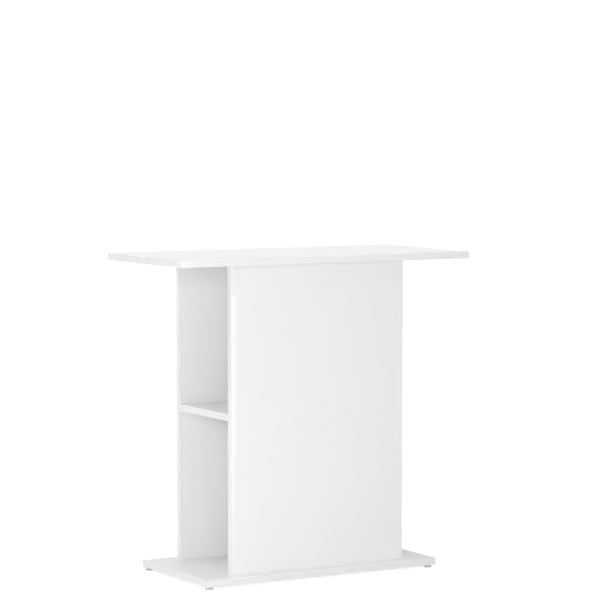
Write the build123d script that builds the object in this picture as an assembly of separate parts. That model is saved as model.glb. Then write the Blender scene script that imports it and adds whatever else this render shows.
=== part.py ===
from build123d import *
import math
import os

os.makedirs("parts", exist_ok=True)

# Boards and overall sizes, in millimetres. X runs along the front, Y from front to back, Z up.
# The origin is on the floor, under the middle of the stand.
top_width = 750.0
top_depth = 360.0
base_width = 600.0
base_depth = 314.0
column_width = 450.0    # outside width of the front and back panels
column_depth = 260.0    # from the front panel's face to the back panel's face
column_height = 694.0   # length of the upright panels
lower_space = 345.0     # clear height of the compartments under the shelves
board = 16.0            # thickness of every board
band = 1.0              # thickness of the plastic edge strips
band_bevel = 0.6        # bevel of the strips' outer edges
bevel_share = 0.9       # a bevel takes at most this share of its strip or cap

# Feet: round glides, each with a plug that is pressed into the base board
foot_height = 7.0
foot_diameter = 18.0
foot_bevel = 1.0
foot_side_inset = 12.0   # foot's centre from the base board's side
foot_front_inset = 16.0  # foot's centre from its front edge
foot_back_inset = 10.0   # foot's centre from its back edge
foot_plug_diameter = 8.0
foot_plug_length = 11.0

# Cam connectors: a headed bolt from one board, drawn in by a cam in the other
cam_setback = 34.0       # cam's centre from the joint
cam_diameter = 15.0
cam_height = 12.4
cam_recess = 0.3         # cam's top below the board's face
cam_eccentric = 0.8      # offset of the cam's inner wall, which draws the head in
cam_hollow_height = 7.0  # of the room for the bolt's head
cam_driver_span = 9.0
cam_driver_width = 1.6
cam_driver_depth = 2.4
cam_mouth_angle = 105.0  # from the bolt round to the mouth that lets the head in, in degrees
bolt_shaft = 7.0
bolt_neck = 4.2
bolt_head = 6.4
bolt_head_length = 2.4
bolt_head_taper = 1.28   # length of the cone from the neck to the head
bolt_thread = 6.0
bolt_thread_length = 11.0
cap_overlap = 1.0        # cap's rim beyond the cam's bore
cap_thickness = 1.0
cap_bevel = 0.5
cap_peg_length = 2.0     # cross-shaped peg, pressed into the cam's driver cross

# Dowels and base screws
dowel_diameter = 8.0
dowel_length = 30.0
dowel_in_face = 11.0     # the dowel's length in a board's face
through_dowel_length = 40.0  # dowels through the divider, from shelf to shelf
dowel_flutes = 9
dowel_flute_depth = 0.35
screw_length = 50.0
screw_shank = 7.0
screw_point = 3.0
screw_head = 10.0
screw_socket = 4.0       # hexagon, across its flats
screw_socket_depth = 3.6

# Where the connectors sit
panel_joint_x = 150.0    # connectors of the front and back panels, from the middle
dowel_pitch = 32.0       # dowel beside its connector
divider_end_inset = 90.0  # the divider's connectors and lowest dowels, from its ends
divider_pair_y = 64.0    # pairs of dowels or screws across the divider, from the middle
shelf_dowel_inset = 60.0    # shelf dowels from the column's side

# Clearances
fit = 0.1                # radial, round a dowel, bolt, cam, screw or plug
slot_fit = 0.2           # on each side of a bolt's neck in its cam's slot
end_gap = 0.5            # left at the bottom of a blind hole

# Levels and faces that follow from the sizes above
column_bottom = foot_height + board
column_top = column_bottom + column_height
inner_depth = column_depth - 2 * board
panel_y = (column_depth - board) / 2
shelf_z = column_bottom + lower_space + board / 2
shelf_length = (column_width - board) / 2
cam_radius = cam_diameter / 2

# The smallest hollow that the head's shoulder clears, and where its wall holds the head
hollow_radius = (bolt_head_taper**2 + (bolt_head / 2) ** 2 - fit**2) / (2 * (bolt_head_taper - fit))
head_start = cam_eccentric - hollow_radius
shoulder_angle = math.degrees(math.atan2(bolt_head / 2, -head_start - bolt_head_taper))


def solid_of(outline, axis):
    """Turns a closed outline, drawn beside the axis, into a solid of revolution."""
    plane = Plane.XY if axis == Axis.X else Plane.XZ
    return revolve(plane * make_face(Polyline(*outline, close=True)), axis=axis)


def rod(radius, start, end):
    """A round rod or bore along X from start to end."""
    return Pos(start, 0, 0) * Rot(0, 90, 0) * Cylinder(
        radius, end - start, align=(Align.CENTER, Align.CENTER, Align.MIN)
    )


def upright(radius, low, high):
    """A round rod or bore along Z from low to high."""
    return Pos(0, 0, low) * Cylinder(radius, high - low, align=(Align.CENTER, Align.CENTER, Align.MIN))


def placed(shape, frames):
    """Copies of a shape, one in each frame."""
    return [frame.location * shape for frame in frames]


def write(node, solids):
    """Writes one node's solids to its STEP file."""
    export_step(Compound(label=node, children=list(solids)), "parts/" + node + ".step")


# A connector's frame has its origin at the cam's centre, halfway through the board that
# holds the cam, X pointing from the joint into that board and Z out of the cam's face.


def head_outline():
    """Half the side view of a bolt, from the joint's face to the tip of its head."""
    taper_end = head_start + bolt_head_taper
    head_end = taper_end + bolt_head_length
    return [
        (-cam_setback, bolt_shaft / 2),
        (-cam_radius - end_gap, bolt_shaft / 2),
        (-cam_radius - end_gap, bolt_neck / 2),
        (head_start, bolt_neck / 2),
        (taper_end, bolt_head / 2),
        (head_end, bolt_head / 2),
        (head_end, 0),
    ]


def cam_bolt():
    """Steel bolt that screws into one board and reaches into the other as far as the cam."""
    end = -cam_setback - bolt_thread_length
    screwed = [(end, 0), (end, bolt_thread / 2), (-cam_setback, bolt_thread / 2)]
    return solid_of(screwed + head_outline(), Axis.X)


def driver_cross(gap, low, high):
    """The cross in a cam's top, or the peg that fits it with a gap all round."""
    arm = Box(cam_driver_span - 2 * gap, cam_driver_width - 2 * gap, high - low)
    return Pos(0, 0, (low + high) / 2) * (arm + Rot(0, 0, 90) * arm)


def cam():
    """Cam turned to its locked place: hollow for the head, slot for the neck, mouth for entry."""
    top = board / 2 - cam_recess
    body = upright(cam_radius, top - cam_height, top)
    hollow = upright(hollow_radius, -cam_hollow_height / 2, cam_hollow_height / 2)
    body -= Pos(cam_eccentric, 0, 0) * hollow
    neck_width = bolt_neck + 2 * slot_fit
    section = Plane.XZ * Pos(-cam_radius, 0) * Rectangle(cam_diameter - bolt_neck, neck_width)
    slot = revolve(section, axis=Axis.Z, revolution_arc=cam_mouth_angle + shoulder_angle)
    body -= Rot(0, 0, -shoulder_angle) * slot
    body -= Rot(0, 0, cam_mouth_angle + 180) * rod(bolt_head / 2 + fit, 0, cam_diameter)
    return body - driver_cross(0, top - cam_driver_depth, top)


def cam_bores():
    """The cam's blind bore and the bolt's bore from the board's edge to it."""
    floor = board / 2 - cam_recess - cam_height - fit
    bore = upright(cam_radius + fit, floor, board / 2)
    return bore + rod(bolt_shaft / 2 + fit, -cam_setback, 0)


def thread_bore():
    """The hole that a cam bolt screws into."""
    return rod(bolt_thread / 2 + fit, -cam_setback - bolt_thread_length - end_gap, -cam_setback)


def cam_cap():
    """Press-in plastic cap that hides a cam."""
    face = board / 2
    disc = upright(cam_radius + fit + cap_overlap, face, face + cap_thickness)
    disc = chamfer(disc.edges().group_by(Axis.Z)[-1], min(cap_bevel, bevel_share * cap_thickness))
    return disc + driver_cross(fit, face - cap_peg_length, face)


# A dowel's or screw's frame has its origin on the joint, with Z pointing into the board
# whose edge is drilled.


def dowel(in_face=dowel_in_face, length=dowel_length):
    """Fluted beech dowel across a joint, its ridges on the dowel's diameter."""
    radius = dowel_diameter / 2
    ridges = [(radius - dowel_flute_depth * (i % 2), i * 180 / dowel_flutes)
              for i in range(2 * dowel_flutes)]
    outline = make_face(Polyline(*[Vector(r, 0).rotate(Axis.Z, a) for r, a in ridges], close=True))
    return Pos(0, 0, -in_face) * extrude(outline, length)


def dowel_bore():
    """The dowel's two blind holes, which meet at the joint."""
    low, high = -dowel_in_face - end_gap, dowel_length - dowel_in_face + end_gap
    return upright(dowel_diameter / 2 + fit, low, high)


def base_screw():
    """Countersunk screw with a hexagon socket, through the base board into an upright."""
    head, shank, end = screw_head / 2, screw_shank / 2, screw_length - board
    outline = [
        (0, -board),
        (head, -board),
        (shank, head - shank - board),
        (shank, end - screw_point),
        (0, end),
    ]
    hexagon = Pos(0, 0, -board) * RegularPolygon(screw_socket / math.sqrt(3), 6)
    return solid_of(outline, Axis.Z) - extrude(hexagon, screw_socket_depth)


def screw_hole():
    """A base screw's countersunk hole in the base board and its bore in the upright."""
    head, shank, end = screw_head / 2 + fit, screw_shank / 2 + fit, screw_length - board + end_gap
    outline = [(0, -board), (head, -board), (shank, head - shank - board), (shank, end), (0, end)]
    return solid_of(outline, Axis.Z)


def foot():
    """Round glide with its plug, its sole at the frame's origin."""
    body = upright(foot_diameter / 2, 0, foot_height)
    body = chamfer(body.edges().group_by(Axis.Z)[0], foot_bevel)
    return body + upright(foot_plug_diameter / 2, foot_height, foot_height + foot_plug_length)


def foot_bore():
    """The blind hole for a foot's plug in the base board."""
    low, high = foot_height, foot_height + foot_plug_length + end_gap
    return upright(foot_plug_diameter / 2 + fit, low, high)


def slab(width, depth, middle_z):
    """A level board's core, without its edge strips."""
    return Pos(0, 0, middle_z) * Box(width - 2 * band, depth - 2 * band, board)


def slab_bands(width, depth, middle_z):
    """Edge strips round a level board: front and back run through, the sides fit between."""
    block = chamfer(Box(width, depth, board).edges(), min(band_bevel, bevel_share * band))
    ring = block - Box(width - 2 * band, depth - 2 * band, board)
    inside = depth - 2 * band
    long_strips = ring - Box(2 * width, inside, 2 * board)
    short_strips = ring & Box(2 * width, inside, 2 * board)
    return [Pos(0, 0, middle_z) * s for s in (*long_strips.solids(), *short_strips.solids())]


def upright_band(side, y):
    """Edge strip on one upright edge of the front or back panel."""
    strip = Box(band, board, column_height)
    outer = strip.edges().filter_by(Axis.Z).group_by(Axis.X)[-1]
    strip = chamfer(outer, min(band_bevel, bevel_share * band))
    turned = strip if side > 0 else Rot(0, 0, 180) * strip
    return Pos(side * (column_width - band) / 2, y, column_bottom + column_height / 2) * turned


def shelf_band(side):
    """Edge strip along a shelf's open edge."""
    strip = Box(band, inner_depth, board)
    outer = strip.edges().filter_by(Axis.Y).group_by(Axis.X)[-1]
    strip = chamfer(outer, min(band_bevel, bevel_share * band))
    turned = strip if side > 0 else Rot(0, 0, 180) * strip
    return Pos(side * (column_width - band) / 2, 0, shelf_z) * turned


def shelf_core(side):
    """A shelf's core, from the divider to its edge strip."""
    length = shelf_length - band
    return Pos(side * (board + length) / 2, 0, shelf_z) * Box(length, inner_depth, board)


def panel_core(y):
    """The front or back panel's core, between its edge strips."""
    middle = column_bottom + column_height / 2
    return Pos(0, y, middle) * Box(column_width - 2 * band, board, column_height)


def frame_at(point, into, face):
    """A connector's frame: X runs into the board and Z out of the face that holds the cam."""
    return Plane(origin=point, x_dir=into, z_dir=face)


def joint_at(point, into):
    """A dowel's or screw's frame: Z runs into the board whose edge is drilled."""
    return Plane(origin=point, z_dir=into)


up, down, right, back, front = (0, 0, 1), (0, 0, -1), (1, 0, 0), (0, 1, 0), (0, -1, 0)
sides = (-1, 1)

# Column to top board: cams on the front panel's inner face and the back panel's rear face
cam_z = column_top - cam_setback
front_top_cams = [frame_at((s * panel_joint_x, -panel_y, cam_z), down, back) for s in sides]
back_top_cams = [frame_at((s * panel_joint_x, panel_y, cam_z), down, back) for s in sides]
top_cams = front_top_cams + back_top_cams

# Divider to front and back panels: one cam near the top of each edge, on the right face
divider_cam_z = column_top - divider_end_inset
cam_y = inner_depth / 2 - cam_setback
divider_front_cams = [frame_at((0, -cam_y, divider_cam_z), back, right)]
divider_back_cams = [frame_at((0, cam_y, divider_cam_z), front, right)]

# Dowels and screws along the ends of the uprights
dowel_x = panel_joint_x + dowel_pitch
panel_dowel_points = {y: [(s * dowel_x, y) for s in sides] for y in (-panel_y, panel_y)}
screw_points = {y: [(s * panel_joint_x, y) for s in sides] for y in (-panel_y, panel_y)}
divider_end_points = [(0, t * divider_pair_y) for t in sides]


def joints_up(points):
    """Frames on the base board's top, pointing up into the uprights."""
    return [joint_at((x, y, column_bottom), up) for x, y in points]


def joints_down(points):
    """Frames under the top board, pointing down into the uprights."""
    return [joint_at((x, y, column_top), down) for x, y in points]


def panel_joints(side, points):
    """Frames on the front (-1) or back (1) panel's inner face, pointing to the middle."""
    return [joint_at((x, side * inner_depth / 2, z), (0, -side, 0)) for x, z in points]


divider_dowel_levels = (column_bottom + divider_end_inset, divider_cam_z - dowel_pitch)
divider_dowel_points = [(0, z) for z in divider_dowel_levels]
shelf_dowel_x = column_width / 2 - shelf_dowel_inset
shelf_dowel_points = {s: [(s * shelf_dowel_x, shelf_z)] for s in sides}
through_places = [Pos(0, t * divider_pair_y, shelf_z) for t in sides]

foot_x = base_width / 2 - foot_side_inset
foot_y = {"front": -base_depth / 2 + foot_front_inset, "back": base_depth / 2 - foot_back_inset}
foot_places = {
    "foot_%s_%s" % (end, name): Pos(s * foot_x, y, 0)
    for end, y in foot_y.items()
    for name, s in (("left", -1), ("right", 1))
}


def through_bore():
    """The hole for a through dowel in the divider and the shelves beside it."""
    reach = through_dowel_length / 2 + end_gap
    return rod(dowel_diameter / 2 + fit, -reach, reach)


def build_top():
    """Top board with its blind holes, and its edge strips."""
    middle = column_top + board / 2
    points = panel_dowel_points[-panel_y] + panel_dowel_points[panel_y] + divider_end_points
    cuts = placed(thread_bore(), top_cams) + placed(dowel_bore(), joints_down(points))
    write("top_panel", [slab(top_width, top_depth, middle) - cuts])
    write("top_edge_bands", slab_bands(top_width, top_depth, middle))


def build_base():
    """Base board with its screw holes and the feet's bores, and its edge strips."""
    middle = foot_height + board / 2
    screws = screw_points[-panel_y] + screw_points[panel_y] + divider_end_points
    cuts = placed(screw_hole(), joints_up(screws))
    cuts += [place * foot_bore() for place in foot_places.values()]
    write("base_panel", [slab(base_width, base_depth, middle) - cuts])
    write("base_edge_bands", slab_bands(base_width, base_depth, middle))


def build_panel(name, side, cams):
    """The front (-1) or back (1) panel with its bores, and its edge strips."""
    y = side * panel_y
    frames = divider_front_cams if side < 0 else divider_back_cams
    shelf_points = shelf_dowel_points[-1] + shelf_dowel_points[1]
    cuts = placed(cam_bores(), cams) + placed(thread_bore(), frames)
    cuts += placed(dowel_bore(), joints_down(panel_dowel_points[y]))
    cuts += placed(dowel_bore(), panel_joints(side, divider_dowel_points + shelf_points))
    cuts += placed(screw_hole(), joints_up(screw_points[y]))
    write(name + "_panel", [panel_core(y) - cuts])
    write(name + "_panel_edge_bands", [upright_band(s, y) for s in sides])


def build_divider():
    """The upright between the two pairs of compartments, with its bores."""
    core = Pos(0, 0, column_bottom + column_height / 2) * Box(board, inner_depth, column_height)
    cuts = placed(cam_bores(), divider_front_cams + divider_back_cams)
    cuts += placed(dowel_bore(), joints_down(divider_end_points))
    for side in sides:
        cuts += placed(dowel_bore(), panel_joints(side, divider_dowel_points))
    cuts += placed(screw_hole(), joints_up(divider_end_points))
    cuts += [place * through_bore() for place in through_places]
    write("centre_divider", [core - cuts])


def build_shelf(name, side):
    """One shelf with its bores, and the strip on its open edge."""
    cuts = [place * through_bore() for place in through_places]
    for end in sides:
        cuts += placed(dowel_bore(), panel_joints(end, shelf_dowel_points[side]))
    write(name + "_shelf", [shelf_core(side) - cuts])
    write(name + "_shelf_edge_band", [shelf_band(side)])


def build_connectors():
    """Cams, bolts, caps, dowels and screws, one node for each kind and joint."""
    for name, frames in {"top": top_cams, "divider": divider_front_cams + divider_back_cams}.items():
        write(name + "_cams", placed(cam(), frames))
        write(name + "_cam_bolts", placed(cam_bolt(), frames))
        write(name + "_cam_caps", placed(cam_cap(), frames))

    panel_points = panel_dowel_points[-panel_y] + panel_dowel_points[panel_y]
    shelf_points = shelf_dowel_points[-1] + shelf_dowel_points[1]
    pairs = {
        "top_dowels": joints_down(panel_points + divider_end_points),
        "divider_dowels": [j for s in sides for j in panel_joints(s, divider_dowel_points)],
        "shelf_dowels": [j for s in sides for j in panel_joints(s, shelf_points)],
    }
    for name, frames in pairs.items():
        write(name, placed(dowel(), frames))
    through = Rot(0, 90, 0) * dowel(through_dowel_length / 2, through_dowel_length)
    write("shelf_through_dowels", [place * through for place in through_places])
    screws = screw_points[-panel_y] + screw_points[panel_y] + divider_end_points
    write("base_screws", placed(base_screw(), joints_up(screws)))


def build_feet():
    """Four round feet, each a node."""
    for name, place in foot_places.items():
        write(name, [place * foot()])


build_top()
build_base()
build_panel("front", -1, front_top_cams)
build_panel("back", 1, back_top_cams)
build_divider()
build_shelf("left", -1)
build_shelf("right", 1)
build_connectors()
build_feet()

print("overall size", top_width, "x", top_depth, "x", column_top + board)
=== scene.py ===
import math

import bmesh
import bpy
import numpy as np
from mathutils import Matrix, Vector


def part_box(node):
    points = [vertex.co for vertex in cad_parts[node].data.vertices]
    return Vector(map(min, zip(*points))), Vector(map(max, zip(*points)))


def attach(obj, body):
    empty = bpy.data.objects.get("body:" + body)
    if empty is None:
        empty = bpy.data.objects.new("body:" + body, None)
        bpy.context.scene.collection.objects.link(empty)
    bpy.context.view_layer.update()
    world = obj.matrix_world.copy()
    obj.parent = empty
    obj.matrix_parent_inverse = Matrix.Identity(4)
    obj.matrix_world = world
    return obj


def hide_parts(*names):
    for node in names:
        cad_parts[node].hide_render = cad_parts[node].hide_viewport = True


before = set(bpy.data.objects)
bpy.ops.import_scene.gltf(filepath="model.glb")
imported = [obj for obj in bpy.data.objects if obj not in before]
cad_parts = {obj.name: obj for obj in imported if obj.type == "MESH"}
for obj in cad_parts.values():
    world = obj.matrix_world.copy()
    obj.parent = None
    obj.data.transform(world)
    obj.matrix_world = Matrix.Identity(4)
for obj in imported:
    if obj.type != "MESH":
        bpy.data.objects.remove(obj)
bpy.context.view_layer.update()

mm = 0.001
weld = 0.001 * mm       # points closer than this are one point
hair = 0.01 * mm        # a step too small to see, where an outline turns a sharp corner
sharpAngle = 40         # degrees; flatter edges are shaded smooth
# An axis is a number everywhere below: 0 is X, 1 is Y, 2 is Z
print("frame:", len(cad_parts), "nodes of the stand")


# Measuring the frame

# Lowest and highest corner of a node as arrays
def boxOf(node):
    low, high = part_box(node)
    return np.array(low), np.array(high)


# Boxes of a node's separate solids. Points that agree to a micrometre are one. Every point
# takes the lowest number among its neighbours, and then the number that the point of that
# number has, again and again, until each solid has one number of its own.
def solidBoxes(node):
    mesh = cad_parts[node].data
    places = np.empty(len(mesh.vertices) * 3, np.float32)
    mesh.vertices.foreach_get("co", places)
    ends = np.empty(len(mesh.edges) * 2, np.int32)
    mesh.edges.foreach_get("vertices", ends)
    spots, same = np.unique(np.round(places.reshape(-1, 3), 6), axis=0, return_inverse=True)
    first, second = same.ravel()[ends[0::2]], same.ravel()[ends[1::2]]
    number = np.arange(len(spots))
    while True:
        lowest = number.copy()
        np.minimum.at(lowest, first, number[second])
        np.minimum.at(lowest, second, number[first])
        lowest = lowest[lowest]
        if (lowest == number).all():
            break
        number = lowest
    groups = [spots[number == n] for n in np.unique(number)]
    return [(group.min(0), group.max(0)) for group in groups]


# Making meshes

# Quads over a grid of points: each row is a closed ring, and the first and last rings
# are filled by a face of their own.
def ringPart(points):
    rows, columns = points.shape[:2]
    across = np.arange(columns)
    following = (across + 1) % columns
    down = np.arange(rows - 1)[:, None] * columns
    quads = np.stack([down + across, down + following,
                      down + columns + following, down + columns + across], axis=-1)
    ends = [across[::-1], across + (rows - 1) * columns]
    return points.reshape(-1, 3), quads.reshape(-1, 4), ends


# A turned surface: at angle a and height h the point is (r cos a, r sin a, h), where the
# radius r may change with the angle, as on a thread or a flute.
def turned(radii, heights, steps):
    angles = np.arange(steps) * 2 * math.pi / steps
    radii = np.broadcast_to(np.reshape(radii, (len(heights), -1)), (len(heights), steps))
    tall = np.broadcast_to(np.reshape(heights, (-1, 1)), radii.shape)
    return np.stack([radii * np.cos(angles), radii * np.sin(angles), tall], axis=-1)


# Turns local Z to one of the frame's axes, up or down it, and shifts to the origin given.
# The other two axes follow in their order, so that nothing is mirrored.
def placed(points, origin, axis, side=1):
    moved = np.empty_like(points)
    moved[..., axis] = side * points[..., 2]
    moved[..., (axis + 1) % 3] = side * points[..., 0]
    moved[..., (axis + 2) % 3] = points[..., 1]
    return moved + np.asarray(origin)


# One piece from several grid parts: poles are merged, normals point outwards, and edges
# sharper than sharpAngle stay sharp. It rides on the stand and replaces its nodes.
def makePiece(name, parts, material, replaced):
    points, faces, count = [], [], 0
    for grid in parts:
        partPoints, quads, ends = ringPart(grid)
        points.append(partPoints)
        faces += (quads + count).tolist() + [(end + count).tolist() for end in ends]
        count += len(partPoints)
    mesh = bpy.data.meshes.new(name)
    mesh.from_pydata(np.concatenate(points).tolist(), [], faces)
    work = bmesh.new()
    work.from_mesh(mesh)
    bmesh.ops.remove_doubles(work, verts=work.verts, dist=weld)
    bmesh.ops.recalc_face_normals(work, faces=work.faces)
    work.to_mesh(mesh)
    work.free()
    mesh.shade_smooth()
    mesh.set_sharp_from_angle(angle=math.radians(sharpAngle))
    mesh.materials.append(material)
    piece = bpy.data.objects.new(name, mesh)
    bpy.context.scene.collection.objects.link(piece)
    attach(piece, "root")
    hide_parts(*replaced)


# Node trees for the finishes

# A node with its settings; an input is either a value or another node's output
def addNode(tree, kind, inputs=None, **settings):
    node = tree.nodes.new(kind)
    for name, value in settings.items():
        setattr(node, name, value)
    for name, value in (inputs or {}).items():
        if isinstance(value, bpy.types.NodeSocket):
            tree.links.new(value, node.inputs[name])
        else:
            node.inputs[name].default_value = value
    return node


# One step of arithmetic on two or three values
def calc(tree, operation, *values):
    return addNode(tree, "ShaderNodeMath", dict(enumerate(values)), operation=operation).outputs[0]


# Runs smoothly from toLow at fromLow to toHigh at fromHigh, and stays level beyond them
def ramp(tree, value, fromLow, fromHigh, toLow=0.0, toHigh=1.0):
    inputs = {"Value": value, "From Min": fromLow, "From Max": fromHigh,
              "To Min": toLow, "To Max": toHigh}
    return addNode(tree, "ShaderNodeMapRange", inputs, interpolation_type="SMOOTHSTEP").outputs[0]


# First colour at share 0, second at share 1
def mixed(tree, share, first, second):
    node = addNode(tree, "ShaderNodeMix", {0: share, 6: first, 7: second}, data_type="RGBA")
    return node.outputs[2]


# Place on the piece, in metres
def objectPlace(tree):
    return addNode(tree, "ShaderNodeTexCoord").outputs["Object"]


# Noise from 0 to 1. The scale is in cycles per metre: one number, or one for each axis.
def grain(tree, scale, detail=2.0, roughness=0.5):
    stretch = tuple(np.broadcast_to(scale, 3).astype(float))
    scaled = addNode(tree, "ShaderNodeMapping", {"Vector": objectPlace(tree), "Scale": stretch})
    inputs = {"Vector": scaled.outputs[0], "Scale": 1.0, "Detail": detail, "Roughness": roughness}
    return addNode(tree, "ShaderNodeTexNoise", inputs).outputs[0]


# The same on one or two vectors
def vectorCalc(tree, operation, *vectors):
    inputs = dict(enumerate(vectors))
    return addNode(tree, "ShaderNodeVectorMath", inputs, operation=operation).outputs[0]


# How deep a point lies below a box's faces, on X, Y and Z: half the box's length on that
# axis, less the point's distance from the middle
def faceGaps(tree, low, high):
    centre, half = tuple((low + high) / 2), tuple((high - low) / 2)
    span = vectorCalc(tree, "ABSOLUTE", vectorCalc(tree, "SUBTRACT", objectPlace(tree), centre))
    inside = vectorCalc(tree, "SUBTRACT", half, span)
    return addNode(tree, "ShaderNodeSeparateXYZ", {0: inside}).outputs


# Distance to the nearest edge of a box, for a point on its surface: of the three depths
# below its faces it is the middle one
def edgeDistance(tree, low, high):
    gaps = faceGaps(tree, low, high)
    lower = calc(tree, "MINIMUM", gaps[0], gaps[1])
    upper = calc(tree, "MAXIMUM", gaps[0], gaps[1])
    return calc(tree, "MAXIMUM", lower, calc(tree, "MINIMUM", upper, gaps[2]))


# A material with its Principled shader; inputs given here are the same all over
def newMaterial(name, **inputs):
    material = bpy.data.materials.new(name)
    material.use_nodes = True
    tree = material.node_tree
    shader = next(node for node in tree.nodes if node.type == "BSDF_PRINCIPLED")
    for key, value in inputs.items():
        shader.inputs[key].default_value = value
    return material, tree, shader


# Relief: height times depth stands out of the surface
def setBump(tree, shader, height, depth):
    bump = addNode(tree, "ShaderNodeBump", {"Height": height, "Distance": depth, "Strength": 1.0})
    tree.links.new(bump.outputs[0], shader.inputs["Normal"])


# In the finishes a scale is in cycles per metre, and a spread holds the two levels of the
# noise between which one look passes into the other
boardFinish = {
    "ior": 1.5,
    "white": (0.905, 0.905, 0.905, 1),
    "whiteAway": (0.896, 0.897, 0.899, 1),   # where the foil is a little duller
    "cloudScale": 3.5,
    "cloudSpread": (0.3, 0.7),
    "gloss": (0.045, 0.065),
    "smearScale": (9, 9, 14),
    "smearSpread": (0.35, 0.7),
    "peelScale": 140,                        # orange peel of the pressed foil
    "peelDepth": 0.004 * mm,
    "foil": 0.25 * mm,
    "chips": ((0.42, 0.29, 0.17, 1), (0.66, 0.52, 0.36, 1)),
    "chipScale": 420.0,
    "darkScale": 900,                        # dark splinters among the chips
    "darkSpread": (0.4, 0.7),
    "chipRoughness": 0.85,
    "fibreScale": 700,
    "fibreDepth": 0.25 * mm,
}


# Pressed white foil on chipboard. Faces of the board show the foil, anything deeper than
# the foil shows chips: the raw edges and the walls of the bores.
def boardMaterial(node, thicknessAxis):
    finish = boardFinish
    material, tree, shader = newMaterial(node + "Foil", IOR=finish["ior"])
    depth = faceGaps(tree, *boxOf(node))[thicknessAxis]
    raw = calc(tree, "GREATER_THAN", depth, finish["foil"])
    cloud = ramp(tree, grain(tree, finish["cloudScale"], detail=3), *finish["cloudSpread"])
    foil = mixed(tree, cloud, finish["white"], finish["whiteAway"])
    flakes = addNode(tree, "ShaderNodeTexVoronoi", {
        "Vector": objectPlace(tree), "Scale": finish["chipScale"], "Randomness": 1.0})
    chips = mixed(tree, flakes.outputs["Distance"], *finish["chips"])
    dark = ramp(tree, grain(tree, finish["darkScale"]), *finish["darkSpread"])
    chips = mixed(tree, dark, chips, finish["chips"][0])
    tree.links.new(mixed(tree, raw, foil, chips), shader.inputs["Base Color"])
    smear = grain(tree, finish["smearScale"], detail=5)
    gloss = ramp(tree, smear, *finish["smearSpread"], *finish["gloss"])
    rawRoughness = calc(tree, "MULTIPLY", raw, finish["chipRoughness"])
    tree.links.new(calc(tree, "MAXIMUM", gloss, rawRoughness), shader.inputs["Roughness"])
    peel = calc(tree, "MULTIPLY", grain(tree, finish["peelScale"]), finish["peelDepth"] / mm)
    fibres = calc(tree, "MULTIPLY", raw, grain(tree, finish["fibreScale"]))
    fibres = calc(tree, "MULTIPLY", fibres, finish["fibreDepth"] / mm)
    setBump(tree, shader, calc(tree, "ADD", peel, fibres), mm)
    return material


stripFinish = {
    "ior": 1.5,
    "white": (0.886, 0.886, 0.886, 1),
    "lineWhite": (0.873, 0.874, 0.876, 1),   # faint lines left by the extruder
    "lineScale": (6, 1400),                  # along the strip and across its thickness
    "lineSpread": (0.35, 0.65),
    "lineDepth": 0.002 * mm,
    "gloss": (0.05, 0.08),
    "glossSpread": (0.3, 0.7),
    "edgeWhite": (0.87, 0.868, 0.864, 1),    # rub wear, with painted shade along the arrises and where the strip ends meet the boards
    "edgeWidth": (0.15 * mm, 0.7 * mm),
    "rubScale": 70,
    "rubSpread": (0.3, 0.8),
    "wornDull": 0.04,                        # added to the roughness there
}


# Plastic edge strip: lines run along it, so the noise is dense across the thickness only
def stripMaterial(name, low, high, thicknessAxis):
    finish = stripFinish
    material, tree, shader = newMaterial(name + "Plastic", IOR=finish["ior"])
    # Darker near the edges and ends: rub wear, mixed with painted shade along the arrises and at the
    # joints where the strip ends butt against the boards
    nearEdge = ramp(tree, edgeDistance(tree, low, high), *finish["edgeWidth"], 1, 0)
    rub = ramp(tree, grain(tree, finish["rubScale"], detail=4), *finish["rubSpread"])
    wearAndShade = calc(tree, "MULTIPLY", nearEdge, rub)
    along, across = finish["lineScale"]
    stretch = [along] * 3
    stretch[thicknessAxis] = across
    lines = grain(tree, stretch, detail=3)
    colour = mixed(tree, ramp(tree, lines, *finish["lineSpread"]), finish["white"], finish["lineWhite"])
    tree.links.new(mixed(tree, wearAndShade, colour, finish["edgeWhite"]), shader.inputs["Base Color"])
    gloss = ramp(tree, lines, *finish["glossSpread"], *finish["gloss"])
    dull = calc(tree, "MULTIPLY_ADD", wearAndShade, finish["wornDull"], gloss)
    tree.links.new(dull, shader.inputs["Roughness"])
    setBump(tree, shader, lines, finish["lineDepth"])
    return material


plasticFinish = {
    "ior": 1.49,
    "driftScale": 160,
    "toneSpread": (0.3, 0.7),
    "glossSpread": (0.3, 0.75),
    "sparkScale": 3200,
    "cap": {
        "colours": ((0.80, 0.80, 0.795, 1), (0.84, 0.84, 0.84, 1)),
        "roughness": (0.30, 0.42),
        "depth": 0.012 * mm,
    },
    "foot": {
        "colours": ((0.60, 0.60, 0.60, 1), (0.68, 0.68, 0.68, 1)),
        "roughness": (0.38, 0.55),
        "depth": 0.02 * mm,
    },
}


# Moulded plastic: a fine spark-eroded grain, with tone and gloss drifting slowly over it
def plasticMaterial(kind):
    finish, own = plasticFinish, plasticFinish[kind]
    material, tree, shader = newMaterial(kind + "Plastic", IOR=finish["ior"])
    drift = grain(tree, finish["driftScale"], detail=4)
    tone = mixed(tree, ramp(tree, drift, *finish["toneSpread"]), *own["colours"])
    tree.links.new(tone, shader.inputs["Base Color"])
    gloss = ramp(tree, drift, *finish["glossSpread"], *own["roughness"])
    tree.links.new(gloss, shader.inputs["Roughness"])
    setBump(tree, shader, grain(tree, finish["sparkScale"], detail=3), own["depth"])
    return material


metalFinish = {
    "toneSpread": (0.3, 0.7),
    "glossSpread": (0.25, 0.75),
    "castZinc": {
        "colours": ((0.50, 0.50, 0.51, 1), (0.62, 0.62, 0.63, 1)),
        "roughness": (0.34, 0.52),
        "scale": 900,
        "depth": 0.02 * mm,
    },
    "platedSteel": {
        "colours": ((0.60, 0.60, 0.58, 1), (0.70, 0.70, 0.71, 1)),
        "roughness": (0.20, 0.34),
        "scale": 500,
        "depth": 0.004 * mm,
    },
}


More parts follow.
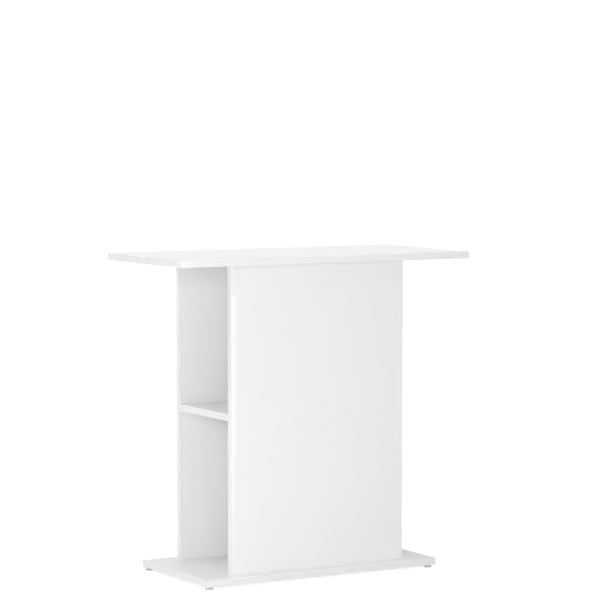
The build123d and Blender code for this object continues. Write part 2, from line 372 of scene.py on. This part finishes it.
# Cast or plated metal: tone and roughness follow one noise, as the skin of the metal does
def metalMaterial(kind):
    finish, own = metalFinish, metalFinish[kind]
    material, tree, shader = newMaterial(kind, Metallic=1.0)
    skin = grain(tree, own["scale"], detail=4)
    tone = mixed(tree, ramp(tree, skin, *finish["toneSpread"]), *own["colours"])
    tree.links.new(tone, shader.inputs["Base Color"])
    gloss = ramp(tree, skin, *finish["glossSpread"], *own["roughness"])
    tree.links.new(gloss, shader.inputs["Roughness"])
    setBump(tree, shader, skin, own["depth"])
    return material


beechFinish = {
    "ior": 1.45,
    "colours": ((0.60, 0.40, 0.225, 1), (0.74, 0.54, 0.34, 1)),
    "toneSpread": (0.3, 0.7),
    "fleck": (0.36, 0.21, 0.11, 1),
    "fleckSpread": (0.62, 0.72),
    "along": 28,                             # scale of the fibres along the dowel
    "fleckAlong": 112,
    "across": 950,
    "roughness": (0.62, 0.8),
    "glossSpread": (0.2, 0.8),
    "depth": 0.04 * mm,
}


# Beech with its grain along the dowel: the noise is stretched on the dowel's own axis
def beechMaterial(axis):
    finish = beechFinish
    material, tree, shader = newMaterial("beech" + "XYZ"[axis], IOR=finish["ior"])
    stretch = [finish["across"]] * 3
    stretch[axis] = finish["along"]
    fibres = grain(tree, stretch, detail=5, roughness=0.6)
    stretch[axis] = finish["fleckAlong"]
    flecks = ramp(tree, grain(tree, stretch, detail=1), *finish["fleckSpread"])
    wood = mixed(tree, ramp(tree, fibres, *finish["toneSpread"]), *finish["colours"])
    tree.links.new(mixed(tree, flecks, wood, finish["fleck"]), shader.inputs["Base Color"])
    gloss = ramp(tree, fibres, *finish["glossSpread"], *finish["roughness"])
    tree.links.new(gloss, shader.inputs["Roughness"])
    setBump(tree, shader, fibres, finish["depth"])
    return material


# Dresses a node that keeps its solids in one material
def dress(node, material):
    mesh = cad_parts[node].data
    mesh.materials.clear()
    mesh.materials.append(material)


# The boards keep their solids and get their foil. The number is the axis of the board's
# thickness.
boards = {
    "top_panel": 2, "base_panel": 2, "left_shelf": 2, "right_shelf": 2,
    "front_panel": 1, "back_panel": 1, "centre_divider": 0,
}
for node, thicknessAxis in boards.items():
    dress(node, boardMaterial(node, thicknessAxis))
zinc = metalMaterial("castZinc")
for node in ("top_cams", "divider_cams"):
    dress(node, zinc)
print("boards and cams: finished")


# Edge strips
stripShape = {
    "round": 0.25 * mm,      # of the trimmed outer corners
    "roundSteps": 6,
    "flatFrom": 0.04 * mm,   # row of points beside a rounded corner, so that flat faces look flat
    "glueWidth": 0.12 * mm,  # groove where strip and foil meet
    "glueDepth": 0.02 * mm,
    "seam": 0.04 * mm,       # between two strips at a corner
}


# A strip's outline carried along its edge. Across the thickness its outer corners are
# quarter circles of radius r, and at a rounded end the strip's reach out from the board
# is cut to t - r + r sin(turn), the same quarter circle seen from above.
def stripPart(low, high, along, outward, side, roundEnds=False):
    shape = stripShape
    r, steps, beside, glue = shape["round"], shape["roundSteps"], shape["flatFrom"], shape["glueWidth"]
    third = 3 - along - outward   # the axis across the thickness
    t, half = high[outward] - low[outward], (high[third] - low[third]) / 2
    turn = np.linspace(0, math.pi / 2, steps + 1)
    rounded, start = t - r + r * np.sin(turn), r - r * np.cos(turn)
    cornerOut = np.concatenate([[t - r - beside], rounded, [t]])
    cornerAcross = half - np.concatenate([[0], start, [r + beside]])
    out = np.concatenate([[0, glue], cornerOut, cornerOut[::-1], [glue, 0]])
    inner = half - shape["glueDepth"]
    across = np.concatenate([[-inner, -half], -cornerAcross, cornerAcross[::-1], [half, inner]])
    length = high[along] - low[along]
    if roundEnds:
        reach = np.concatenate([rounded, [t, t], rounded[::-1]])
        run = np.concatenate([start, [r + beside, length - r - beside], (length - start)[::-1]])
    else:
        reach = np.array([t, t])
        run = np.array([shape["seam"], length - shape["seam"]])
    grid = np.empty((len(run), len(out), 3))
    base = low[outward] if side > 0 else high[outward]
    grid[..., along] = low[along] + run[:, None]
    grid[..., outward] = base + side * np.minimum(out[None, :], reach[:, None])
    grid[..., third] = (low[third] + high[third]) / 2 + across[None, :]
    return grid


# The part of the outer box that lies beyond the core on one side of one axis
def beyond(core, outer, axis, side):
    low, high = outer[0].copy(), outer[1].copy()
    if side > 0:
        low[axis] = core[1][axis]
    else:
        high[axis] = core[0][axis]
    return low, high


# Level boards have four strips: front and back run through, the sides fit between them
for core, node in (("top_panel", "top_edge_bands"), ("base_panel", "base_edge_bands")):
    inner, outer = boxOf(core), boxOf(node)
    parts = []
    for side in (-1, 1):
        low, high = beyond(inner, outer, 1, side)
        parts.append(stripPart(low, high, 0, 1, side, roundEnds=True))
        low, high = beyond(inner, outer, 0, side)
        low[1], high[1] = inner[0][1], inner[1][1]
        parts.append(stripPart(low, high, 1, 0, side))
    plastic = stripMaterial(node, *outer, 2)
    makePiece(node.replace("_edge_bands", "EdgeStrips"), parts, plastic, [node])

# The front and back panels have a strip on each upright edge
for core in ("front_panel", "back_panel"):
    node = core + "_edge_bands"
    inner, outer = boxOf(core), boxOf(node)
    parts = [stripPart(*beyond(inner, outer, 0, side), 2, 0, side) for side in (-1, 1)]
    plastic = stripMaterial(node, *outer, 1)
    makePiece(core.replace("_panel", "PanelEdgeStrips"), parts, plastic, [node])

# Each shelf has one strip, on its open edge
for side, name in ((-1, "left"), (1, "right")):
    node = name + "_shelf_edge_band"
    part = stripPart(*boxOf(node), 1, 0, side)
    plastic = stripMaterial(node, *boxOf(name + "_shelf"), 2)
    makePiece(name + "ShelfEdgeStrip", [part], plastic, [node])
print("edge strips: done")


# Caps over the cams
capShape = {
    "disc": 1.0 * mm,        # thickness of the disc; the rest of the piece is its peg
    "dishRadius": 6.0 * mm,
    "dishDepth": 0.34 * mm,
    "rimWidth": 1.3 * mm,    # from the dish up to the rim's top
    "rimRound": 0.55 * mm,
    "rowsPerCurve": (9, 7),  # up the rim, and over its edge
    "underBevel": 0.1 * mm,
    "notchDepth": 0.5 * mm,  # for a fingernail, on the lower side
    "notchWidth": 0.16,      # half its angle, in radians
    "notchFade": 1.0 * mm,   # inwards from the rim's edge
    "pegSpan": 8.8 * mm,
    "pegWidth": 1.4 * mm,
    "pegInDisc": 0.05 * mm,
    "pegStraight": 0.7,      # share of its length before it narrows
    "pegTaper": 0.8,         # width of its end, as a share
    "steps": 96,
}
capAxes = {"top_cam_caps": 1, "divider_cam_caps": 0}   # that the discs face along


# The disc's height runs from the dish to the rim along 3s^2 - 2s^3 and falls over the
# rim's edge as a quarter circle. The notch dips the outer radii by a bell curve, depth
# times e^-(angle / width)^2, which fades inwards from the rim.
def capDisc(radius):
    shape = capShape
    top, dish, r, bevel = shape["disc"], shape["dishRadius"], shape["rimRound"], shape["underBevel"]
    riseRows, roundRows = shape["rowsPerCurve"]
    s = np.linspace(0, 1, riseRows)
    rise = top - shape["dishDepth"] * (1 - (3 * s**2 - 2 * s**3))
    turn = np.linspace(0, math.pi / 2, roundRows)
    flat = radius - r
    radii = np.concatenate([[0, dish / 2], dish + s * shape["rimWidth"], flat + r * np.sin(turn),
                            [radius, radius - bevel, 0]])
    heights = np.concatenate([[top - shape["dishDepth"]] * 2, rise, top - r * (1 - np.cos(turn)),
                              [bevel, 0, 0]])
    angles = np.arange(shape["steps"]) * 2 * math.pi / shape["steps"] - math.pi
    notch = shape["notchDepth"] * np.exp(-(angles / shape["notchWidth"]) ** 2)
    share = np.clip((radii - flat) / shape["notchFade"] + 1, 0, 1)
    return turned(radii[:, None] - share[:, None] * notch[None, :], heights, shape["steps"])


# The peg is a cross of twelve corners, carried down and narrowed at its end
def capPeg(depth):
    shape = capShape
    arm, width = shape["pegSpan"] / 2, shape["pegWidth"] / 2
    corner = np.array([(arm, -width), (arm, width), (width, width)])
    quarter = [np.array([[c, -s], [s, c]]) for c, s in ((1, 0), (0, 1), (-1, 0), (0, -1))]
    outline = np.concatenate([corner @ turn.T for turn in quarter])
    scale = np.array([1, 1, shape["pegTaper"]])[:, None, None]
    heights = np.array([shape["pegInDisc"], -shape["pegStraight"] * depth, -depth])
    grid = np.empty((3, len(outline), 3))
    grid[..., :2] = scale * outline
    grid[..., 2] = heights[:, None]
    return grid


capPlastic = plasticMaterial("cap")
for node, axis in capAxes.items():
    parts = []
    for low, high in solidBoxes(node):
        origin = (low + high) / 2
        origin[axis] = high[axis] - capShape["disc"]
        radius = (high[2] - low[2]) / 2
        # the notch lies on local -X; on Y the placing puts local X along Z
        disc, peg = capDisc(radius), capPeg(origin[axis] - low[axis])
        if axis == 0:
            disc, peg = (part[..., [1, 0, 2]] for part in (disc, peg))   # brings the notch down
        parts += [placed(disc, origin, axis), placed(peg, origin, axis)]
    makePiece(node.replace("_cam_caps", "CamCaps"), parts, capPlastic, [node])
print("cam caps: done")


# Feet
footShape = {
    # moulding dimple and sole: radius and height of their corners, in mm
    "sole": ((0, 0.5), (2.6, 0.5), (3.1, 0.0), (7.4, 0.0)),
    "soleRound": 1.2 * mm,
    "draft": 0.25 * mm,      # how much narrower the side is near the sole
    "grooveHeight": 5.3 * mm,
    "grooveDepth": 0.35 * mm,
    "grooveHalf": 0.35 * mm,  # half its width at the surface
    "grooveFloor": 0.6,      # share of the width that is at full depth
    "grooveLip": 0.05 * mm,  # how far the side below it stands back
    "topRound": 0.3 * mm,
    "roundSteps": 6,
    "plugRadius": 4.0 * mm,
    "plugCore": 3.45 * mm,
    "plugTip": 0.75,         # share of the core's radius
    "barbs": 4,
    "rowsPerBarb": 8,
    "steps": 72,
}


# The foot's side view turned round its axis: dimpled sole, rounded corner, side with draft
# and a groove under its top disc, then the plug. A barb is widest at its lower end and
# narrows evenly: the radius is the core's plus the barb's times 1 minus the saw curve.
def footPart(low, high, seat):
    shape = footShape
    radius = (high[0] - low[0]) / 2
    sole = np.array(shape["sole"]) * mm
    turn = np.linspace(0, math.pi / 2, shape["roundSteps"] + 1)
    narrow = radius - shape["draft"]
    roundR = narrow - shape["soleRound"] + shape["soleRound"] * np.sin(turn)
    roundH = shape["soleRound"] * (1 - np.cos(turn))
    g, w, d = shape["grooveHeight"], shape["grooveHalf"], shape["grooveDepth"]
    floor = shape["grooveFloor"] * w
    sideR = [radius - shape["grooveLip"], radius - d, radius - d, radius]
    sideH = [g - w, g - floor, g + floor, g + w]
    topR = radius - shape["topRound"] * (1 - np.cos(turn))
    topH = seat - shape["topRound"] * (1 - np.sin(turn))
    core, barb = shape["plugCore"], shape["plugRadius"] - shape["plugCore"]
    s = np.linspace(0, 1, shape["barbs"] * shape["rowsPerBarb"] + 1)
    saw = (s * shape["barbs"]) % 1
    plugR = core + barb * (1 - saw) * (s < 1)
    plugR[-1] = shape["plugTip"] * core
    plugStart = seat + 2 * hair
    plugH = plugStart + s * (high[2] - plugStart)
    radii = np.concatenate([sole[:, 0], roundR, sideR, topR, plugR, [0]])
    heights = np.concatenate([sole[:, 1], roundH, sideH, topH, plugH, [high[2]]])
    grid = turned(radii, heights, shape["steps"])
    return grid + np.array([(low[0] + high[0]) / 2, (low[1] + high[1]) / 2, 0])


footPlastic = plasticMaterial("foot")
underBase = boxOf("base_panel")[0][2]
for end in ("front", "back"):
    for side in ("left", "right"):
        node = "foot_" + end + "_" + side
        part = footPart(*boxOf(node), underBase)
        makePiece("foot" + end.title() + side.title(), [part], footPlastic, [node])
print("feet: done")


# Screws and bolts
screwShape = {
    "headRound": 0.3 * mm,
    "coneLength": 1.5 * mm,
    "collarRadius": 3.45 * mm,
    "collarEnd": 18.0 * mm,
    "collarCone": 1.0 * mm,  # from the collar down to the thread's core
    "core": 2.4 * mm,
    "crest": 3.5 * mm,
    "pitch": 3.0 * mm,
    "sharpness": 3,          # power of the ridge: higher is a thinner crest
    "point": 5.0 * mm,
    "pointBulge": (0.7, 0.4),   # radius and what is left of the length, as shares
    "tipRadius": 0.1 * mm,
    "socket": 4.0 * mm,      # hexagon, across its flats
    "socketDepth": 3.6 * mm,
    "socketDrill": 1.15,     # depth of the drill's cone in it, as a share
    "socketBevel": (0.2 * mm, 0.25 * mm),   # width and depth
    "steps": 36,
    "rowsPerTurn": 12,
}
boltShape = {
    "tipBevel": (0.5 * mm, 0.6 * mm),       # width and length
    "threadLength": 11.0 * mm,
    "core": 2.45 * mm,
    "crest": 3.0 * mm,
    "pitch": 1.25 * mm,
    "sharpness": 1,
    "shaftRadius": 3.5 * mm,
    "shaftLength": 26.0 * mm,
    "neckRadius": 2.1 * mm,
    "headRadius": 3.2 * mm,
    "headLength": 2.4 * mm,
    "headCone": 1.28 * mm,
    "dimple": (1.0 * mm, 1.2 * mm),         # radius and depth, in the head's end
    "edge": 0.3 * mm,        # bevel of the shaft's and the head's edges
    "steps": 36,
    "rowsPerTurn": 10,
}


# Rows of a turned surface from pairs of radius and height. A radius is one number, or one
# for each angle.
def outlineRows(points, steps):
    radii = np.array([np.broadcast_to(radius, steps) for radius, height in points], float)
    return radii, np.array([height for radius, height in points], float)


# Thread from one height to another: its ridge is a triangle wave of height / pitch minus
# angle / full turn, raised to a power, and fades in and out over one turn.
def threadGrid(shape, start, end):
    rows = int((end - start) / shape["pitch"] * shape["rowsPerTurn"]) + 1
    heights = np.linspace(start, end, rows)
    angles = np.arange(shape["steps"]) / shape["steps"]
    phase = (heights[:, None] / shape["pitch"] - angles[None, :]) % 1
    ridge = (1 - np.abs(2 * phase - 1)) ** shape["sharpness"]
    fade = np.clip(np.minimum(heights - start, end - heights) / shape["pitch"], 0, 1)
    return shape["core"] + (shape["crest"] - shape["core"]) * ridge * fade[:, None], heights


# Countersunk screw with a hexagon socket. Its hexagon's radius at angle a is the apothem
# divided by the cosine of the angle to the nearest flat's middle.
def screwPart(low, high):
    shape = screwShape
    steps, head, length = shape["steps"], (high[0] - low[0]) / 2, high[2] - low[2]
    angles = np.arange(steps) * 2 * math.pi / steps
    toFlat = (angles + math.pi / 6) % (math.pi / 3) - math.pi / 6
    hexagon = shape["socket"] / 2 / np.cos(toFlat)
    bevelWidth, bevelDepth = shape["socketBevel"]
    depth, r, cone = shape["socketDepth"], shape["headRound"], shape["coneLength"]
    collar, collarEnd = shape["collarRadius"], shape["collarEnd"]
    topR, topH = outlineRows([
        (0, shape["socketDrill"] * depth), (hexagon, depth), (hexagon, bevelDepth),
        (hexagon + bevelWidth, 0), (head - r, 0), (head, r), (collar, cone + r),
        (collar, collarEnd - shape["collarCone"]), (shape["core"], collarEnd)], steps)
    threadR, threadH = threadGrid(shape, collarEnd, length - shape["point"])
    bulge, left = shape["pointBulge"]
    tipR, tipH = outlineRows([
        (bulge * shape["core"], length - left * shape["point"]), (shape["tipRadius"], length)], steps)
    radii = np.concatenate([topR, threadR[1:], tipR])
    return turned(radii, np.concatenate([topH, threadH[1:], tipH]), steps)


# Cam bolt from the end of its thread to the tip of its head: thread, shaft, neck, a cone
# that the cam's slot pulls on, and the head
def boltPart(length):
    shape = boltShape
    steps, e = shape["steps"], shape["edge"]
    shaft, neck, head = shape["shaftRadius"], shape["neckRadius"], shape["headRadius"]
    bevelWidth, bevelLength = shape["tipBevel"]
    shaftStart = shape["threadLength"]
    shaftEnd = shaftStart + shape["shaftLength"]
    headStart = length - shape["headLength"]
    dimpleRadius, dimpleDepth = shape["dimple"]
    tipR, tipH = outlineRows([(0, 0), (shape["core"] - bevelWidth, 0)], steps)
    threadR, threadH = threadGrid(shape, bevelLength, shaftStart)
    restR, restH = outlineRows([
        (shaft - e, shaftStart + hair), (shaft, shaftStart + e), (shaft, shaftEnd - e),
        (shaft - e, shaftEnd), (neck, shaftEnd + hair), (neck, headStart - shape["headCone"]),
        (head, headStart), (head, length - e), (head - e, length), (dimpleRadius, length),
        (0, length - dimpleDepth)], steps)
    radii = np.concatenate([tipR, threadR, restR])
    return turned(radii, np.concatenate([tipH, threadH, restH]), steps)


steel = metalMaterial("platedSteel")
screws = []
for low, high in solidBoxes("base_screws"):
    middle = (low + high) / 2
    screws.append(placed(screwPart(low, high), (middle[0], middle[1], low[2]), 2))
makePiece("baseScrews", screws, steel, ["base_screws"])
boltAxes = {"top_cam_bolts": 2, "divider_cam_bolts": 1}
for node, axis in boltAxes.items():
    parts = []
    for low, high in solidBoxes(node):
        middle = (low + high) / 2
        # each bolt's thread points away from the stand's inside
        away = 1 if axis == 2 or middle[1] > 0 else -1
        middle[axis] = high[axis] if away > 0 else low[axis]
        parts.append(placed(boltPart(high[axis] - low[axis]), middle, axis, -away))
    makePiece(node.replace("_cam_bolts", "CamBolts"), parts, steel, [node])
print("screws and bolts: done")


# Dowels
dowelShape = {
    "flutes": 18,
    "fluteDepth": 0.3 * mm,
    "endBevel": 1.2 * mm,
    # corners of the bevel: how far along the dowel and how far in, as shares of it
    "bevelCorners": ((0, 0.8), (0.35, 0.35), (1, 0)),
    "stepsPerFlute": 6,
}


# Fluted dowel: the radius is R - depth * (1 - cos(flutes * angle)) / 2, and both ends are
# drawn in by a bevel.
def dowelPart(radius, length):
    shape = dowelShape
    steps = shape["flutes"] * shape["stepsPerFlute"]
    angles = np.arange(steps) * 2 * math.pi / steps
    fluted = radius - shape["fluteDepth"] * (1 - np.cos(shape["flutes"] * angles)) / 2
    along, inward = shape["endBevel"] * np.array(shape["bevelCorners"]).T
    heights = np.concatenate([[0], along, length - along[::-1], [length]])
    inset = np.concatenate([[radius], inward, inward[::-1], [radius]])
    radii = np.minimum(fluted[None, :], (radius - inset)[:, None])
    return turned(radii, heights, steps)


dowelAxes = {"top_dowels": 2, "divider_dowels": 1, "shelf_dowels": 1, "shelf_through_dowels": 0}
for node, axis in dowelAxes.items():
    parts = []
    for low, high in solidBoxes(node):
        origin = (low + high) / 2
        radius = np.delete(high - low, axis).max() / 2
        origin[axis] = low[axis]
        parts.append(placed(dowelPart(radius, high[axis] - low[axis]), origin, axis))
    name = "".join(word.title() if i else word for i, word in enumerate(node.split("_")))
    makePiece(name, parts, beechMaterial(axis), [node])
print("dowels: done")


# Studio, in metres and watts
studio = {
    "backgroundLevel": 1.03,  # just over white, so that the borders stay white too
    "behindLevel": 0.90,     # what the gloss sees behind the stand, so that its top stays apart
    "behindFrom": (-0.2, 0.5),  # share of the direction that points back, where it changes
    "worldLevel": 0.10,      # light that it gives the stand
    "floorSize": 60.0,
    "floorWhite": (0.8, 0.8, 0.8, 1),
    "floorShown": 0.85,      # light the floor shows by itself, so that only soft shadow is left
    "floorAway": 1.03,       # the same away from the stand, where no lamp adds to it
    "floorKeeps": 0.30,      # share of real light and shadow in what the floor shows
    "floorLight": 0.05,      # what the floor near the stand gives beside the light it throws back
    "floorNear": (0.30, 1.0),   # distances where near ends and away begins
    "lamps": {
        "overhead": {"place": (0, 0, 3.5), "aim": (0, 0, 0.4), "size": 2.5, "power": 39.0},
        "frontLeft": {"place": (-2.06, -2.95, 1.0), "aim": (0, 0, 0.36), "size": 0.9, "power": 34.5},
        "lowLeft": {"place": (-2.52, -1.97, 0.55), "aim": (0, 0, 0.36), "size": 0.9, "power": 18.5},
        "lowFront": {"place": (-1.2, -3.0, 0.6), "aim": (0, 0, 0.35), "size": 1.2, "power": 5.0},
        "highLeft": {"place": (-1.9, -1.9, 3.2), "aim": (0, 0, 0.2), "size": 2.6, "power": 12.0},
        "highRight": {"place": (1.4, -2.6, 2.8), "aim": (0, 0, 0.3), "size": 2.6, "power": 28.0},
        "rightFill": {"place": (2.8, 0.9, 1.2), "aim": (0.2, 0, 0.35), "size": 1.8, "power": 12.0},
        "highBack": {"place": (-1.6, 2.4, 2.4), "aim": (0, 0, 0.4), "size": 2.4, "power": 60.0},
    },
    # upright cards seen in the gloss only: y of the plane, left and right, bottom and top,
    # width of the soft right edge, and how far that edge moves in down to the bottom,
    # starting at taperFrom
    "cards": {
        "tall": {"y": -0.2, "x": (-0.205, -0.1715), "z": (0.0, 0.642), "soft": 0.004, "level": 3.2,
                 "taper": 0.0105, "taperFrom": 0.45},
        "small": {"y": -0.3, "x": (-0.325, -0.278), "z": (0.700, 0.740), "soft": 0.014, "level": 2.2,
                  "taper": 0.0, "taperFrom": 0.72},
    },
    "cardFade": 0.3,         # share of the height from the bottom to taperFrom
}


# 1 for camera, glossy and transmission rays, 0 for light that falls on the stand
def seenDirectly(tree):
    path = addNode(tree, "ShaderNodeLightPath").outputs
    looks = calc(tree, "MAXIMUM", path["Is Camera Ray"], path["Is Glossy Ray"])
    return calc(tree, "MAXIMUM", looks, path["Is Transmission Ray"])


# White background of a level, which is a number or another node's output
def backgroundOf(tree, level):
    inputs = {"Strength": level, "Color": (1, 1, 1, 1)}
    return addNode(tree, "ShaderNodeBackground", inputs).outputs[0]


# White where the camera, a reflection or glass looks at it, softer where it lights. Gloss
# sees the background's level less a loss, which grows to the back up to the difference
# from behindLevel.
def makeWorld():
    world = bpy.data.worlds.new("studioWorld")
    bpy.context.scene.world = world
    world.use_nodes = True
    tree = world.node_tree
    tree.nodes.clear()
    direction = addNode(tree, "ShaderNodeTexCoord").outputs["Generated"]
    backwards = addNode(tree, "ShaderNodeSeparateXYZ", {0: direction}).outputs["Y"]
    white = studio["backgroundLevel"]
    behind = ramp(tree, backwards, *studio["behindFrom"], white, studio["behindLevel"])
    inGloss = addNode(tree, "ShaderNodeLightPath").outputs["Is Glossy Ray"]
    loss = calc(tree, "MULTIPLY", inGloss, calc(tree, "SUBTRACT", white, behind))
    light = backgroundOf(tree, studio["worldLevel"])
    shown = backgroundOf(tree, calc(tree, "SUBTRACT", white, loss))
    mix = addNode(tree, "ShaderNodeMixShader", {0: seenDirectly(tree), 1: light, 2: shown})
    addNode(tree, "ShaderNodeOutputWorld", {"Surface": mix.outputs[0]})


# The floor lights the stand as plain white board does. Where it is looked at, it shows
# floorKeeps of the real light and shadow and a glow of its own, so that it is white but for
# soft shadow. The glow runs from floorShown near the stand to floorAway.
def makeFloor():
    half = studio["floorSize"] / 2
    corners = [(-half, -half, 0), (half, -half, 0), (half, half, 0), (-half, half, 0)]
    mesh = bpy.data.meshes.new("floor")
    mesh.from_pydata(corners, [], [(0, 1, 2, 3)])
    floor = bpy.data.objects.new("floor", mesh)
    bpy.context.scene.collection.objects.link(floor)
    material = bpy.data.materials.new("floorWhite")
    material.use_nodes = True
    tree = material.node_tree
    tree.nodes.clear()
    reach = addNode(tree, "ShaderNodeVectorMath", {0: objectPlace(tree)}, operation="LENGTH")
    distance = reach.outputs["Value"]
    white = addNode(tree, "ShaderNodeBsdfDiffuse", {"Color": studio["floorWhite"]})
    given = ramp(tree, distance, *studio["floorNear"], studio["floorLight"], 0)
    light = addNode(tree, "ShaderNodeEmission", {"Strength": given})
    plain = addNode(tree, "ShaderNodeAddShader", {0: white.outputs[0], 1: light.outputs[0]})
    keeps = studio["floorKeeps"]
    shade = addNode(tree, "ShaderNodeBsdfDiffuse", {"Color": (keeps, keeps, keeps, 1)})
    level = ramp(tree, distance, *studio["floorNear"], studio["floorShown"], studio["floorAway"])
    glow = addNode(tree, "ShaderNodeEmission", {"Strength": level})
    shown = addNode(tree, "ShaderNodeAddShader", {0: shade.outputs[0], 1: glow.outputs[0]})
    mix = addNode(tree, "ShaderNodeMixShader", {
        0: seenDirectly(tree), 1: plain.outputs[0], 2: shown.outputs[0]})
    addNode(tree, "ShaderNodeOutputMaterial", {"Surface": mix.outputs[0]})
    mesh.materials.append(material)


# A square lamp turned to its aim. The gloss doesn't show it.
def makeLamp(name, lamp):
    data = bpy.data.lights.new(name, "AREA")
    data.size = lamp["size"]
    data.energy = lamp["power"]
    light = bpy.data.objects.new(name, data)
    light.location = lamp["place"]
    aim = Vector(lamp["aim"]) - Vector(lamp["place"])
    light.rotation_euler = aim.to_track_quat("-Z", "Y").to_euler()
    light.visible_glossy = False
    bpy.context.scene.collection.objects.link(light)


# A bright card that only shows in the gloss. Its share is the share over the soft right
# edge, which moves in by the taper down to the bottom, times the share over the last part
# at the bottom. The rest is clear.
def makeCard(name, card):
    left, right = card["x"]
    low, high = card["z"]
    corners = [(x, card["y"], z) for x, z in ((left, low), (right, low), (right, high), (left, high))]
    mesh = bpy.data.meshes.new(name)
    mesh.from_pydata(corners, [], [(0, 1, 2, 3)])
    sheet = bpy.data.objects.new(name, mesh)
    bpy.context.scene.collection.objects.link(sheet)
    material = bpy.data.materials.new(name)
    material.use_nodes = True
    tree = material.node_tree
    tree.nodes.clear()
    place = addNode(tree, "ShaderNodeSeparateXYZ", {0: objectPlace(tree)}).outputs
    inward = ramp(tree, place["Z"], low, card["taperFrom"], card["taper"], 0)
    moved = calc(tree, "ADD", place["X"], inward)
    fadeTop = low + studio["cardFade"] * (card["taperFrom"] - low)
    share = calc(tree, "MULTIPLY", ramp(tree, moved, right - card["soft"], right, 1, 0),
                 ramp(tree, place["Z"], low, fadeTop))
    clear = addNode(tree, "ShaderNodeBsdfTransparent")
    glow = addNode(tree, "ShaderNodeEmission", {"Strength": card["level"]})
    mix = addNode(tree, "ShaderNodeMixShader", {0: share, 1: clear.outputs[0], 2: glow.outputs[0]})
    addNode(tree, "ShaderNodeOutputMaterial", {"Surface": mix.outputs[0]})
    mesh.materials.append(material)
    sheet.visible_camera = False
    sheet.visible_diffuse = False
    sheet.visible_shadow = False
    sheet.visible_transmission = False


makeWorld()
makeFloor()
for name, lamp in studio["lamps"].items():
    makeLamp(name, lamp)
for name, card in studio["cards"].items():
    makeCard(name + "Card", card)
print("studio: done")


# Camera
cameraSetup = {
    "place": (-3.0563, -5.2694, 1.0649),
    "turn": 30.34,           # degrees to the right of straight ahead
    "tilt": 4.15,            # degrees down
    "lens": 159.63,          # focal length and sensor's width, in millimetres
    "sensor": 36.0,
    "farthest": 200,         # metres
}
cameraData = bpy.data.cameras.new("camera")
cameraData.sensor_width = cameraSetup["sensor"]
cameraData.lens = cameraSetup["lens"]
cameraData.clip_end = cameraSetup["farthest"]
camera = bpy.data.objects.new("camera", cameraData)
camera.location = cameraSetup["place"]
camera.rotation_euler = (math.radians(90 - cameraSetup["tilt"]), 0, -math.radians(cameraSetup["turn"]))
bpy.context.scene.collection.objects.link(camera)
bpy.context.scene.camera = camera
bpy.context.scene.view_settings.view_transform = "Standard"
